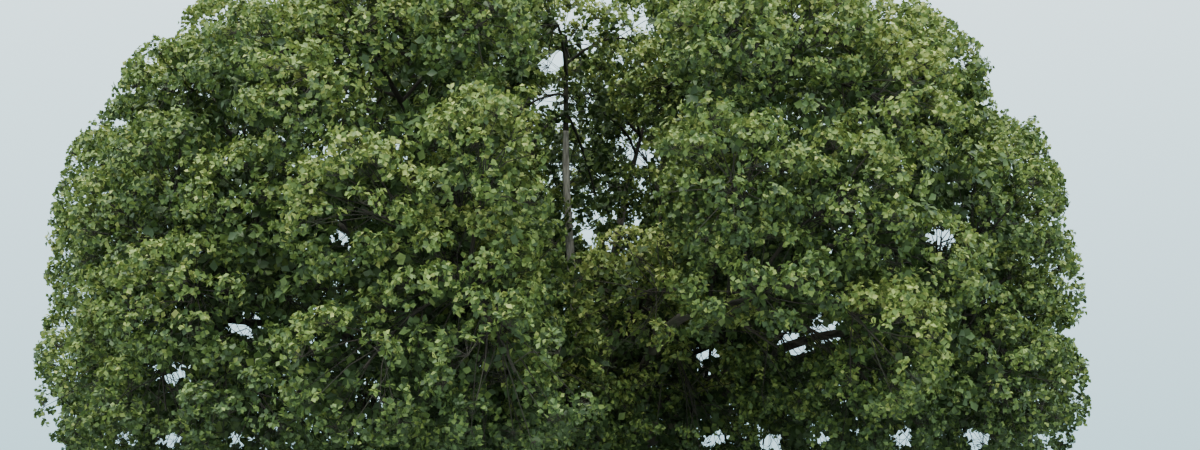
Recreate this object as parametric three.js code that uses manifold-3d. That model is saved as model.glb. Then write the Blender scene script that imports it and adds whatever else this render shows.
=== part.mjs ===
// An open-grown oak: a short trunk with a root flare, long low boughs, rising boughs and
// upright leaders, each ending in its own mass of foliage. Millimetres, +Z up. The origin is
// the middle of the trunk's flat foot on the ground, and the tree is seen from -Y.
import * as THREE from "three";
import { ConvexGeometry } from "three/addons/geometries/ConvexGeometry.js";
import { mergeVertices } from "three/addons/utils/BufferGeometryUtils.js";
import Module from "manifold-3d";

const wasm = await Module();
wasm.setup();

// Driving sizes of the crown, a dome that is widest low down
const SPREAD = 26000;
const HEIGHT = 15200;
const WIDEST_AT = 4900;
const SKIRT_AT = 1800;
const CROWN_SHIFT = -550; // the crown's middle lies this far along X from the trunk
const DOME_POWER = 2.8; // of the crown above its widest: 2 is an ellipse, and more is squarer
const SKIRT_POWER = 5; // the same below its widest
const CLEFT_AZIMUTH = 2; // the crown's open cleft faces -Y, turned this many degrees towards +X
const CLEFT_HALF_WIDTH = 1250;
const CLEFT_FLOOR = 7200;
const CLEFT_BACK = -900;
// Below the cleft the crown is sunk in, and low on the front right it is open and its limbs show.
// back is measured from the crown's middle.
const WINDOWS = [
  { azimuth: 6, halfAngle: 7, floor: 3200, top: 7200, back: 7400 },
  { azimuth: 20, halfAngle: 10, floor: 3000, top: 4700, back: 6000 },
];

// Driving sizes of the trunk, from its flat cut to the rounded head that the boughs leave
const TRUNK_RADIUS = 780;
const FLARE_RADIUS = 1330;
const FLARE_HEIGHT = 620;
const ROOT_LOBES = 5;
const ROOT_LOBE_DEPTH = 0.16;
const HEAD_RADIUS = 930;
const HEAD_AT = 2650;
const HEAD_HEIGHT = 780;
const TRUNK_LEAN = 150;
const TRUNK_SIDES = 18;
const TRUNK_RINGS = 6;
const TRUNK_RING_CROWDING = 1.4; // over 1, the rings lie closer together towards the foot
const HEAD_SWELL_HEIGHT = 800; // the trunk swells towards its head over this height
const HEAD_RING_ANGLES = [28, 55, 76]; // degrees up the head

// Boughs
const BOUGH_SIDES = 5;
const BOUGH_RINGS = 5;
const BOUGH_PULL = 0.36; // of the way between its ends that a bough holds the direction of each
const COLLAR_LENGTH = 480; // the swelling where a bough leaves its host dies away over this
const COLLAR_SWELL = 0.32;
const BOUGH_TAPER = 0.85; // under 1, a bough loses more of its thickness near its root
const HEAD_ROOTING = 0.55; // of the head's size, from its middle to where the boughs' axes start
const FORK_SLIMMING = 0.72; // a forking bough's radius beside its host's at the fork
const FORK_TURN = 12; // degrees
const SEAT_GAP = 0.45; // clear gap between a bough and what carries it

// Foliage: each mass is a core with shoots standing out of it. A shoot is a twig whose end
// flattens out into a leaf plate, with more plates round its foot. A plate stands for a spray.
const STEM_GAP = 0.35; // clear gap between a bough's tip and the stem it feeds
const STEM_RADIUS = 90;
const STEM_SHARE = 0.36; // of a mass's half width, from its middle to where its stem starts
const CELL_GAP = 40; // free space left between two masses
const LIMB_CLEARANCE = 110; // free space left between a core and a bough
const OBSTACLE_STEPS = 50; // a core's corners are tried against this many lengths of each bough
const CORE_POINTS = 22;
const CORE_SHARE = 0.72; // of the way from a mass's middle to its edge, on the outward side
const CORE_SIDE_SHARE = 0.82; // the same towards its neighbours
const CORE_INNER_SHARE = 0.3; // the same towards the middle of the crown
const CORE_TURNOVER = 0.85; // how soon, going round a core, the inner share grows to the side one
const CORE_ROUGHNESS = 0.12; // of its size
const SHOOTS = 8;
const SHOOTS_OVER = 0.64; // of all directions about a mass, the outward ones that get shoots
const PLATES_AROUND = 3;
const PLATE_TILT = 55; // degrees, from the shoot's direction
const PLATE_TILT_SPREAD = 16; // degrees in all
const PLATE_SIZES = [1, 0.84, 0.7, 0.56]; // the first of these that fits is made
const TWIG_RADIUS = 75;
const TWIG_TIP_RADIUS = 48;
const TWIG_FROM = 0.15; // of the way from a mass's middle to its edge
const TWIG_FREE = 260; // of it stands out of the core before it flattens
const ROOTING = 90; // depth below the core's surface that the other plates start from
const LEAF_LENGTH = 1700;
const LEAF_LENGTH_SPREAD = 0.2; // of it in all
const LEAF_WIDTH = 0.74; // of its length
const LEAF_THICKNESS = 0.08; // of its length
const LEAF_WIDEST = 0.56; // of its length
const LEAF_DROOP = 0.08; // of its length
const MARCH = 90; // step with which the edge of a mass's space is looked for

// The tiers of the crown, from the skirt up. rise is the angle up the dome in degrees, out the
// share of the way to its surface, gap the angle that a tier leaves free about gapAt, and lobe a
// mass's largest half width. Boughs leave the trunk's head at leave degrees above level and come
// to their masses at arrive. Every second one forks off the one before at the share fork of it.
const TIERS = [
  { name: "low", count: 9, rise: 1, out: 0.755, gapAt: 6, gap: 31, lobe: 5000,
    leave: 12, arrive: -2, root: 290, tip: 95, fork: 0.3 },
  { name: "rising", count: 8, rise: 35, out: 0.76, gapAt: 4, gap: 56, lobe: 4900,
    leave: 47, arrive: 34, root: 280, tip: 95, fork: 0.34 },
  { name: "upright", count: 6, rise: 64, out: 0.73, gapAt: 4, gap: 96, lobe: 4300,
    leave: 74, arrive: 62, root: 255, tip: 85, fork: 0.45 },
];
// Masses deep in the crown, each on a side bough of a rising one
const INNER = { count: 4, azimuth: 20, radius: 4500, height: 5900, lobe: 3300,
  fork: 0.24, slimming: 0.55, tip: 80 };
// The mass at the top of the crown, on a leader that bows out to the front left
const TOP = { out: 0.75, lobe: 4200, root: 170, tip: 80, bow: [-900, -700, 6500] };

const DEGREE = Math.PI / 180;
const UP = new THREE.Vector3(0, 0, 1);

// The same stream of numbers from 0 to 1 for the same seed
const STREAM_SIZE = 2147483647;
const STREAM_FACTOR = 16807;
const SEED_SPACING = 7919;
const SEED_START = 12345;

function stream(seed) {
  let state = (seed * SEED_SPACING + SEED_START) % STREAM_SIZE;
  return () => {
    state = (state * STREAM_FACTOR) % STREAM_SIZE;
    return state / STREAM_SIZE;
  };
}

// A direction from an azimuth, 0 towards -Y and 90 towards +X, and an angle above level
function heading(azimuth, above) {
  const a = azimuth * DEGREE;
  const e = above * DEGREE;
  return new THREE.Vector3(Math.sin(a) * Math.cos(e), -Math.cos(a) * Math.cos(e), Math.sin(e));
}

// Crown dome: a point at an azimuth and rise, at the share out of the way to the surface
function crownPoint(azimuth, rise, out) {
  const round = Math.abs(Math.cos(rise * DEGREE)) ** (2 / DOME_POWER);
  const high = Math.abs(Math.sin(rise * DEGREE)) ** (2 / DOME_POWER);
  const flat = heading(azimuth, 0).multiplyScalar((SPREAD / 2) * out * round);
  return flat.add(new THREE.Vector3(CROWN_SHIFT, 0, WIDEST_AT + (HEIGHT - WIDEST_AT) * out * high));
}

function insideDome(p) {
  const radius = Math.hypot(p.x - CROWN_SHIFT, p.y) / (SPREAD / 2);
  const above = p.z - WIDEST_AT;
  const height = above > 0 ? above / (HEIGHT - WIDEST_AT) : -above / (WIDEST_AT - SKIRT_AT);
  const power = above > 0 ? DOME_POWER : SKIRT_POWER;
  return radius ** power + height ** power <= 1;
}

function insideCleft(p) {
  const across = p.x * Math.cos(CLEFT_AZIMUTH * DEGREE) + p.y * Math.sin(CLEFT_AZIMUTH * DEGREE);
  return p.y < CLEFT_BACK && p.z > CLEFT_FLOOR && Math.abs(across) < CLEFT_HALF_WIDTH;
}

function insideWindow(p) {
  const fromMiddle = Math.hypot(p.x - CROWN_SHIFT, p.y);
  const azimuth = Math.atan2(p.x - CROWN_SHIFT, -p.y) / DEGREE;
  return WINDOWS.some((window) => p.z > window.floor && p.z < window.top
    && fromMiddle > window.back && Math.abs(azimuth - window.azimuth) < window.halfAngle);
}

// A closed geometry as a manifold solid, with shared vertices merged and collapsed faces dropped
function solidOf(geometry) {
  const bare = geometry.clone();
  bare.deleteAttribute("normal");
  bare.deleteAttribute("uv");
  const merged = mergeVertices(bare, 1e-2);
  const index = merged.index.array;
  const faces = [];
  for (let i = 0; i < index.length; i += 3) {
    const [a, b, c] = [index[i], index[i + 1], index[i + 2]];
    if (a !== b && b !== c && c !== a) faces.push(a, b, c);
  }
  return new wasm.Manifold(new wasm.Mesh({
    numProp: 3,
    vertProperties: merged.attributes.position.array,
    triVerts: new Uint32Array(faces),
  }));
}

// The largest body of a solid, which drops loose scraps and fills sealed hollows
function mainBody(solid) {
  return solid.decompose().reduce((best, body) => (body.volume() > best.volume() ? body : best));
}

function meshOf(name, solid, material) {
  const { vertProperties, triVerts } = solid.getMesh();
  const geometry = new THREE.BufferGeometry();
  geometry.setAttribute("position", new THREE.BufferAttribute(vertProperties, 3));
  geometry.setIndex(new THREE.BufferAttribute(triVerts, 1));
  const mesh = new THREE.Mesh(geometry, material);
  mesh.name = name;
  return mesh;
}

// A cylinder bent along a curve, with the radius that radiusAt gives at each share of its length
function limbGeometry(curve, radiusAt, sides, rings) {
  const geometry = new THREE.CylinderGeometry(1, 1, 1, sides, rings);
  const position = geometry.attributes.position;
  const { normals, binormals } = curve.computeFrenetFrames(rings);
  for (let i = 0; i < position.count; i++) {
    const ring = Math.round((position.getY(i) + 0.5) * rings);
    const radius = radiusAt(ring / rings);
    const p = curve.getPointAt(ring / rings)
      .addScaledVector(normals[ring], position.getX(i) * radius)
      .addScaledVector(binormals[ring], -position.getZ(i) * radius);
    position.setXYZ(i, p.x, p.y, p.z);
  }
  return geometry;
}

// Trunk: its axis leans a little, and its foot spreads into root lobes
function trunkRadius(height) {
  const flare = (FLARE_RADIUS - TRUNK_RADIUS) * Math.exp(-height / FLARE_HEIGHT);
  const belowHead = (height - HEAD_AT) / HEAD_SWELL_HEIGHT;
  const swell = (HEAD_RADIUS - TRUNK_RADIUS) * Math.exp(-(belowHead ** 2));
  return TRUNK_RADIUS + flare + swell;
}

function trunkSolid(extra) {
  const profile = [new THREE.Vector2(0, 0)];
  for (let i = 0; i <= TRUNK_RINGS; i++) {
    const height = HEAD_AT * (i / TRUNK_RINGS) ** TRUNK_RING_CROWDING;
    profile.push(new THREE.Vector2(trunkRadius(height) + extra, height));
  }
  for (const angle of HEAD_RING_ANGLES) {
    const radius = (HEAD_RADIUS + extra) * Math.cos(angle * DEGREE);
    profile.push(new THREE.Vector2(radius, HEAD_AT + (HEAD_HEIGHT + extra) * Math.sin(angle * DEGREE)));
  }
  profile.push(new THREE.Vector2(0, HEAD_AT + HEAD_HEIGHT + extra));
  const geometry = new THREE.LatheGeometry(profile, TRUNK_SIDES);
  const position = geometry.attributes.position;
  for (let i = 0; i < position.count; i++) {
    const [x, height, y] = [position.getX(i), position.getY(i), position.getZ(i)];
    const lobe = 1 + ROOT_LOBE_DEPTH * Math.exp(-height / FLARE_HEIGHT)
      * Math.cos(ROOT_LOBES * Math.atan2(y, x));
    position.setXYZ(i, x * lobe + TRUNK_LEAN * (height / HEAD_AT) ** 2, -y * lobe, height);
  }
  return solidOf(geometry);
}

const headMiddle = new THREE.Vector3(TRUNK_LEAN, 0, HEAD_AT);

// A bough's curve leaves along leave, arrives at end along arrive, and bows between them
function boughCurve(start, leave, end, arrive) {
  const pull = start.distanceTo(end) * BOUGH_PULL;
  const first = start.clone().addScaledVector(leave, pull);
  const last = end.clone().addScaledVector(arrive, -pull);
  return new THREE.CubicBezierCurve3(start, first, last, end);
}

function makeBough(name, curve, root, tip) {
  const length = curve.getLength();
  const radiusAt = (share) => {
    const collar = 1 + COLLAR_SWELL * Math.exp((-share * length) / COLLAR_LENGTH);
    return (root + (tip - root) * share ** BOUGH_TAPER) * collar;
  };
  return { name, curve, radiusAt };
}

// Where a mass's stem starts: on the mass's near side, facing the way the bough comes
function entryPoint(mass, arrive) {
  return mass.middle.clone().addScaledVector(arrive, -mass.lobe * STEM_SHARE);
}

// The skeleton: the masses' middles and lobes, and one bough to each
const masses = [];
const boughs = [];
const risingHosts = [];

// Adds a mass with the bough that carries it
function grow(mass, bough) {
  mass.bough = bough;
  masses.push(mass);
  boughs.push(bough);
}

for (const tier of TIERS) {
  const step = (360 - tier.gap) / (tier.count - 1);
  let host = null;
  for (let i = 0; i < tier.count; i++) {
    const azimuth = tier.gapAt + tier.gap / 2 + step * i;
    const mass = {
      name: `foliage_${tier.name}_${i + 1}`,
      middle: crownPoint(azimuth, tier.rise, tier.out),
      lobe: tier.lobe,
    };
    const arrive = heading(azimuth, tier.arrive);
    const end = entryPoint(mass, arrive);
    const name = `bough_${tier.name}_${i + 1}`;
    if (host) {
      const leave = heading(azimuth + FORK_TURN, tier.leave);
      const curve = boughCurve(host.curve.getPointAt(tier.fork), leave, end, arrive);
      grow(mass, makeBough(name, curve, host.radiusAt(tier.fork) * FORK_SLIMMING, tier.tip));
      host = null;
    } else {
      const rooting = heading(azimuth + step / 2, tier.leave)
        .multiply(new THREE.Vector3(HEAD_RADIUS, HEAD_RADIUS, HEAD_HEIGHT))
        .multiplyScalar(HEAD_ROOTING);
      const leave = heading(azimuth - step / 10, tier.leave);
      const curve = boughCurve(headMiddle.clone().add(rooting), leave, end, arrive);
      host = makeBough(name, curve, tier.root, tier.tip);
      grow(mass, host);
      if (tier.name === "rising") risingHosts.push(host);
    }
  }
}

for (let i = 0; i < INNER.count; i++) {
  const flat = heading(INNER.azimuth + (360 / INNER.count) * i, 0).multiplyScalar(INNER.radius);
  const mass = {
    name: `foliage_inner_${i + 1}`,
    middle: flat.add(new THREE.Vector3(CROWN_SHIFT, 0, INNER.height)),
    lobe: INNER.lobe,
  };
  const host = risingHosts[i];
  const start = host.curve.getPointAt(INNER.fork);
  const arrive = mass.middle.clone().sub(start).normalize();
  const curve = boughCurve(start, arrive, entryPoint(mass, arrive), arrive);
  const root = host.radiusAt(INNER.fork) * INNER.slimming;
  grow(mass, makeBough(`bough_inner_${i + 1}`, curve, root, INNER.tip));
}

const topMass = { name: "foliage_top", middle: crownPoint(0, 90, TOP.out), lobe: TOP.lobe };
const topStart = headMiddle.clone().add(new THREE.Vector3(0, 0, HEAD_HEIGHT / 2));
const topCurve = boughCurve(topStart, new THREE.Vector3(...TOP.bow).normalize(),
  entryPoint(topMass, UP), UP);
grow(topMass, makeBough("leader_top", topCurve, TOP.root, TOP.tip));

// Points along each bough with its radius there, which a mass's core has to stay clear of
const obstacles = boughs.flatMap((bough) => bough.curve.getSpacedPoints(OBSTACLE_STEPS)
  .map((at, i) => ({ at, radius: bough.radiusAt(i / OBSTACLE_STEPS) })));

function clearOfBoughs(p) {
  return obstacles.every((o) => o.at.distanceTo(p) > o.radius + LIMB_CLEARANCE);
}

// A mass keeps to its own space: its lobe, its side of each neighbour, and the dome outside the
// cleft and the windows
function insideSpace(mass, p) {
  if (p.distanceTo(mass.middle) > mass.lobe) return false;
  if (!insideDome(p) || insideCleft(p) || insideWindow(p)) return false;
  return masses.every((other) => {
    if (other === mass) return true;
    const apart = other.middle.clone().sub(mass.middle);
    const along = p.clone().sub(mass.middle).dot(apart) / apart.length();
    return along < apart.length() / 2 - CELL_GAP / 2;
  });
}

// How far the space reaches from the middle of a mass in one direction
function reach(mass, direction) {
  const edge = mass.middle.clone();
  let distance = 0;
  while (insideSpace(mass, edge.addScaledVector(direction, MARCH))) distance += MARCH;
  return distance;
}

// A closed body from its corners and the corner numbers of its faces
function bodyOf(corners, faces) {
  const made = new wasm.Manifold(new wasm.Mesh({
    numProp: 3,
    vertProperties: new Float32Array(corners.flatMap((corner) => corner.toArray())),
    triVerts: new Uint32Array(faces.flat()),
  }));
  return made.volume() > 0 ? made : null;
}

// The corners of a leaf plate: pointed, widest past its middle, with a ridge above and its
// sides and tip drooping
function leafCorners(base, along, up, length) {
  const side = new THREE.Vector3().crossVectors(up, along).normalize();
  const face = new THREE.Vector3().crossVectors(along, side).normalize();
  const at = (far, out, over) => base.clone()
    .addScaledVector(along, far * length)
    .addScaledVector(side, out * length)
    .addScaledVector(face, over * length);
  return {
    side,
    face,
    base,
    left: at(LEAF_WIDEST, LEAF_WIDTH / 2, -LEAF_DROOP / 2),
    ridge: at(LEAF_WIDEST, 0, LEAF_THICKNESS - LEAF_DROOP / 2),
    right: at(LEAF_WIDEST, -LEAF_WIDTH / 2, -LEAF_DROOP / 2),
    tip: at(1, 0, -LEAF_DROOP),
  };
}

function leafSolid({ base, left, ridge, right, tip }) {
  return bodyOf([base, left, ridge, right, tip],
    [[0, 2, 1], [0, 3, 2], [0, 1, 3], [1, 2, 4], [2, 3, 4], [3, 1, 4]]);
}

// A shoot: a twig with three sides that flattens out into the plate at its end
function shootSolid(from, { side, face, base, left, ridge, right, tip }) {
  const ring = (middle, radius) => [
    middle.clone().addScaledVector(side, radius),
    middle.clone().addScaledVector(face, radius),
    middle.clone().addScaledVector(side, -radius),
  ];
  const faces = [[0, 2, 1]];
  for (let i = 0; i < 6; i++) {
    const next = i % 3 === 2 ? i - 2 : i + 1;
    faces.push([i, next, i + 3], [next, next + 3, i + 3]);
  }
  faces.push([6, 7, 9], [7, 8, 9], [8, 6, 9]);
  const corners = [...ring(from, TWIG_RADIUS), ...ring(base, TWIG_TIP_RADIUS), left, ridge, right, tip];
  return bodyOf(corners, faces);
}

function leafFits(mass, { base, left, ridge, right, tip }) {
  return [base, left, ridge, right, tip].every((p) => insideSpace(mass, p));
}

// A solid kept with its box, and whether a solid shares room with any of such others
const boxed = (solid) => ({ solid, box: solid.boundingBox() });

function meets(solid, others) {
  const box = solid.boundingBox();
  return others.some((other) => {
    const apart = [0, 1, 2].some((i) => box.max[i] < other.box.min[i] || other.box.max[i] < box.min[i]);
    return !apart && solid.intersect(other.solid).volume() > 0;
  });
}

// The straight stem with three sides that joins a mass to its bough
function stemSolid(from, to, radius) {
  const curve = new THREE.LineCurve3(from, to);
  return solidOf(limbGeometry(curve, () => radius, 3, 1));
}

// The way out of the crown from a mass
function outward(mass) {
  return mass.middle.clone().sub(new THREE.Vector3(CROWN_SHIFT, 0, WIDEST_AT)).normalize();
}

// Two directions square to a given one
function squareTo(direction) {
  const aside = Math.abs(direction.z) < 0.99 ? UP : new THREE.Vector3(1, 0, 0);
  const u = new THREE.Vector3().crossVectors(aside, direction).normalize();
  return [u, new THREE.Vector3().crossVectors(direction, u)];
}

// Directions spread evenly from out over a share of all directions, each turned on by the
// golden angle from the one before
function directionsFrom(out, count, share, turn) {
  const golden = Math.PI * (3 - Math.sqrt(5));
  const [u, v] = squareTo(out);
  const made = [];
  for (let i = 0; i < count; i++) {
    const facing = 1 - (2 * share * i) / (count - 1);
    const round = Math.sqrt(1 - facing * facing);
    made.push(out.clone().multiplyScalar(facing)
      .addScaledVector(u, round * Math.cos(turn + i * golden))
      .addScaledVector(v, round * Math.sin(turn + i * golden)));
  }
  return made;
}

// The core: a rough ball drawn out towards the edge of the space, short of any bough
function coreGeometry(mass, random) {
  const out = outward(mass);
  const points = directionsFrom(out, CORE_POINTS, 1, random() * 2 * Math.PI).map((direction) => {
    const facing = out.dot(direction);
    const turned = Math.min(1, (facing + 1) * CORE_TURNOVER);
    const share = CORE_INNER_SHARE + (CORE_SIDE_SHARE - CORE_INNER_SHARE) * turned
      - (CORE_SIDE_SHARE - CORE_SHARE) * Math.max(0, facing);
    const rough = 1 - CORE_ROUGHNESS * random();
    const p = mass.middle.clone()
      .addScaledVector(direction, reach(mass, direction) * share * rough);
    while (p.distanceTo(mass.middle) > MARCH && !clearOfBoughs(p)) p.addScaledVector(direction, -MARCH);
    return p;
  });
  return new ConvexGeometry(points);
}

// One mass in its own space. A plate that would leave the space, touch a limb or cross another
// is made smaller, and is left out if the smallest does not fit either.
function massSolid(mass, limbs, seed) {
  const random = stream(seed);
  const geometry = coreGeometry(mass, random);
  const shell = new THREE.Mesh(geometry, new THREE.MeshBasicMaterial({ side: THREE.DoubleSide }));
  const made = [];
  for (const direction of directionsFrom(outward(mass), SHOOTS, SHOOTS_OVER, random() * 2 * Math.PI)) {
    const [surface] = new THREE.Raycaster(mass.middle, direction).intersectObject(shell);
    if (!surface) continue;
    const from = mass.middle.clone().addScaledVector(direction, reach(mass, direction) * TWIG_FROM);
    const full = LEAF_LENGTH * (1 + LEAF_LENGTH_SPREAD * (random() - 0.5));
    const turn = random() * 2 * Math.PI;
    const [u, v] = squareTo(direction);
    const sprung = [];
    for (let k = 0; k < PLATES_AROUND; k++) {
      const around = turn + (2 * Math.PI * k) / PLATES_AROUND;
      const tilt = (PLATE_TILT + PLATE_TILT_SPREAD * (random() - 0.5)) * DEGREE;
      const along = direction.clone().multiplyScalar(Math.cos(tilt))
        .addScaledVector(u, Math.sin(tilt) * Math.cos(around))
        .addScaledVector(v, Math.sin(tilt) * Math.sin(around));
      const base = mass.middle.clone()
        .addScaledVector(direction, surface.distance + (k === 0 ? TWIG_FREE : -ROOTING));
      for (const size of PLATE_SIZES) {
        const corners = leafCorners(base, along, direction, full * size);
        if (!leafFits(mass, corners)) continue;
        const plate = k === 0 ? shootSolid(from, corners) : leafSolid(corners);
        if (!plate || meets(plate, limbs) || meets(plate, made)) continue;
        sprung.push(boxed(plate));
        break;
      }
    }
    made.push(...sprung);
  }
  const arrive = mass.bough.curve.getTangentAt(1);
  const entry = mass.bough.curve.getPointAt(1).addScaledVector(arrive, STEM_GAP);
  let solid = solidOf(geometry).add(stemSolid(entry, mass.middle, STEM_RADIUS));
  for (const piece of made) solid = solid.add(piece.solid);
  return solid;
}

// Materials from the photograph: shaded grey-brown bark and mid green leaves
const bark = new THREE.MeshStandardMaterial({ color: 0x5b4f40, roughness: 0.95, metalness: 0 });
const foliage = new THREE.MeshStandardMaterial({ color: 0x4f6a2c, roughness: 0.7, metalness: 0 });

const tree = new THREE.Group();
tree.add(meshOf("trunk", trunkSolid(0), bark));

// Each bough is cut clear of the trunk and of the boughs made before it
const limbs = [boxed(trunkSolid(SEAT_GAP))];
for (const bough of boughs) {
  let solid = solidOf(limbGeometry(bough.curve, bough.radiusAt, BOUGH_SIDES, BOUGH_RINGS));
  for (const limb of limbs) {
    if (meets(solid, [limb])) solid = solid.subtract(limb.solid);
  }
  tree.add(meshOf(bough.name, mainBody(solid), bark));
  limbs.push(boxed(solidOf(limbGeometry(bough.curve, (share) => bough.radiusAt(share) + SEAT_GAP,
    BOUGH_SIDES, BOUGH_RINGS))));
}

masses.forEach((mass, i) => {
  let solid = massSolid(mass, limbs, i + 1);
  for (const limb of limbs) {
    if (meets(solid, [limb])) solid = solid.subtract(limb.solid);
  }
  tree.add(meshOf(mass.name, mainBody(solid), foliage));
});

export default tree;
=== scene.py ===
import math

import bmesh
import bpy
import numpy as np
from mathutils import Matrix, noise


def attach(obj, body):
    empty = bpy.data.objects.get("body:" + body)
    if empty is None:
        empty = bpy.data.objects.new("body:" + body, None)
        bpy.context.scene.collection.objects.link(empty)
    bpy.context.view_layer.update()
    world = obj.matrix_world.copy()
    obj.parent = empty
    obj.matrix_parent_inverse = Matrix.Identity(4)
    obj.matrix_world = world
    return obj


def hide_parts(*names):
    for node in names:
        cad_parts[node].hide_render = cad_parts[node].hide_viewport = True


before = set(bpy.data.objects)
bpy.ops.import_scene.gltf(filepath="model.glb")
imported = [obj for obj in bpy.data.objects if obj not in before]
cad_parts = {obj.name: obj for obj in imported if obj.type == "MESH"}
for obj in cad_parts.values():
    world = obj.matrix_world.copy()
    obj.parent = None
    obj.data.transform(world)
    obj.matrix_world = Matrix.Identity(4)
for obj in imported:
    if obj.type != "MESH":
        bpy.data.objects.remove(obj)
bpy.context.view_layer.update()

# Trunk
# A short stout bole of grey-brown oak bark, cut into long plates by deep fissures. Its foot
# spreads into root lobes at the ground, and it swells again into the head that carries the boughs.
TRUNK_RADIUS = 0.78
FLARE_RADIUS = 1.33
FLARE_HEIGHT = 0.62
ROOT_LOBES = 5
ROOT_LOBE_DEPTH = 0.16
HEAD_RADIUS = 0.93
HEAD_AT = 2.65
HEAD_HEIGHT = 0.78
HEAD_SWELL_HEIGHT = 0.8
TRUNK_LEAN = 0.15
TRUNK_SEGMENTS = 192
TRUNK_RINGS = 190
BOLE_SHARE = 0.8  # of the trunk's rings lie below the middle of its head
HEAD_ARC = 88  # degrees of its dome, from the level up to the small hole that is closed last
PLATE_WIDTH = 0.085
PLATE_STRETCH = 3.4  # a plate of bark is this many times longer than wide
PLATE_STEEPNESS = 4.2
FISSURE_FLOOR = 0.14  # what is left of a plate's height in the bottom of a fissure
FLAKES_TO_A_PLATE = 3.1
FLAKE_HEIGHT = 0.16
TRUNK_FISSURE = 0.034


def bark_relief(angle, along, radius, offset):
    """How far a spot of bark stands out: 1 on a plate and 0 in the bottom of a fissure."""
    across = (math.cos(angle) * radius / PLATE_WIDTH, math.sin(angle) * radius / PLATE_WIDTH)
    high = along / (PLATE_WIDTH * PLATE_STRETCH) + offset
    plates = min(1.0, abs(noise.noise((across[0], across[1], high))) * PLATE_STEEPNESS)
    flakes = noise.noise((across[0] * FLAKES_TO_A_PLATE, across[1] * FLAKES_TO_A_PLATE,
                          high * FLAKES_TO_A_PLATE))
    relief = plates * (1 - FISSURE_FLOOR) + FISSURE_FLOOR + flakes * FLAKE_HEIGHT
    return max(0.0, min(1.0, relief))


def tube_object(name, segments, rings, place):
    """A closed tube: place gives a corner's position and its relief from an angle and a share."""
    bm = bmesh.new()
    bmesh.ops.create_grid(bm, x_segments=segments, y_segments=rings, size=0.5)
    ridge = bm.verts.layers.float.new("ridge")
    for vert in bm.verts:
        angle = (vert.co.x + 0.5) * 2 * math.pi
        share = min(1.0, max(0.0, vert.co.y + 0.5))
        vert.co, vert[ridge] = place(angle, share)
    bmesh.ops.remove_doubles(bm, verts=bm.verts, dist=1e-5)
    bmesh.ops.holes_fill(bm, edges=[e for e in bm.edges if e.is_boundary], sides=0)
    bmesh.ops.recalc_face_normals(bm, faces=bm.faces)
    mesh = bpy.data.meshes.new(name)
    bm.to_mesh(mesh)
    bm.free()
    mesh.shade_smooth()
    piece = bpy.data.objects.new(name, mesh)
    bpy.context.scene.collection.objects.link(piece)
    return piece


def trunk_place(angle, share):
    """A corner of the trunk's bark, with its relief, from an angle and a share of its rings."""
    if share < BOLE_SHARE:
        height = HEAD_AT * share / BOLE_SHARE
        below_head = (height - HEAD_AT) / HEAD_SWELL_HEIGHT
        radius = TRUNK_RADIUS + (FLARE_RADIUS - TRUNK_RADIUS) * math.exp(-height / FLARE_HEIGHT)
        radius += (HEAD_RADIUS - TRUNK_RADIUS) * math.exp(-below_head ** 2)
    else:
        round_head = (share - BOLE_SHARE) / (1 - BOLE_SHARE) * math.radians(HEAD_ARC)
        height = HEAD_AT + HEAD_HEIGHT * math.sin(round_head)
        radius = HEAD_RADIUS * math.cos(round_head)
    lobe = 1 + ROOT_LOBE_DEPTH * math.exp(-height / FLARE_HEIGHT) * math.cos(ROOT_LOBES * angle)
    relief = bark_relief(angle, height, radius, 0.0)
    radius = radius * lobe - TRUNK_FISSURE * (1 - relief)
    lean = TRUNK_LEAN * (height / HEAD_AT) ** 2
    return (math.cos(angle) * radius + lean, -math.sin(angle) * radius, height), relief


trunk_bark = tube_object("trunk_bark", TRUNK_SEGMENTS, TRUNK_RINGS, trunk_place)


def node_group(name, inputs, outputs):
    """An empty shader node group with its sockets, and its two ends."""
    group = bpy.data.node_groups.new(name, "ShaderNodeTree")
    for label, kind, value in inputs:
        socket = group.interface.new_socket(label, in_out="INPUT", socket_type=kind)
        socket.default_value = value
    for label, kind in outputs:
        group.interface.new_socket(label, in_out="OUTPUT", socket_type=kind)
    return group, group.nodes.new("NodeGroupInput"), group.nodes.new("NodeGroupOutput")


# Plates and fissures take their colours from the bark's own relief, with lichen in patches
bark_grain, grain_in, grain_out = node_group(
    "bark grain",
    [("Plate", "NodeSocketColor", (0.12, 0.1, 0.08, 1)),
     ("Fissure", "NodeSocketColor", (0.02, 0.017, 0.013, 1)),
     ("Lichen", "NodeSocketColor", (0.12, 0.14, 0.07, 1)),
     ("Lichen Amount", "NodeSocketFloat", 0.5)],
    [("Color", "NodeSocketColor"), ("Height", "NodeSocketFloat")])
ridge_value = bark_grain.nodes.new("ShaderNodeAttribute")
ridge_value.attribute_name = "ridge"
bark_coordinates = bark_grain.nodes.new("ShaderNodeTexCoord")
bark_speckle = bark_grain.nodes.new("ShaderNodeTexNoise")
bark_speckle.inputs["Scale"].default_value = 24
bark_speckle.inputs["Detail"].default_value = 5
lichen_patches = bark_grain.nodes.new("ShaderNodeTexNoise")
lichen_patches.inputs["Scale"].default_value = 2.2
lichen_patches.inputs["Detail"].default_value = 6
lichen_edge = bark_grain.nodes.new("ShaderNodeMapRange")
lichen_edge.inputs["From Min"].default_value = 0.5
lichen_edge.inputs["From Max"].default_value = 0.62
lichen_share = bark_grain.nodes.new("ShaderNodeMath")
lichen_share.operation = "MULTIPLY"
plate_or_fissure = bark_grain.nodes.new("ShaderNodeMix")
plate_or_fissure.data_type = "RGBA"
with_lichen = bark_grain.nodes.new("ShaderNodeMix")
with_lichen.data_type = "RGBA"
bark_height = bark_grain.nodes.new("ShaderNodeMath")
bark_height.operation = "ADD"
link = bark_grain.links.new
link(bark_coordinates.outputs["Object"], bark_speckle.inputs["Vector"])
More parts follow.
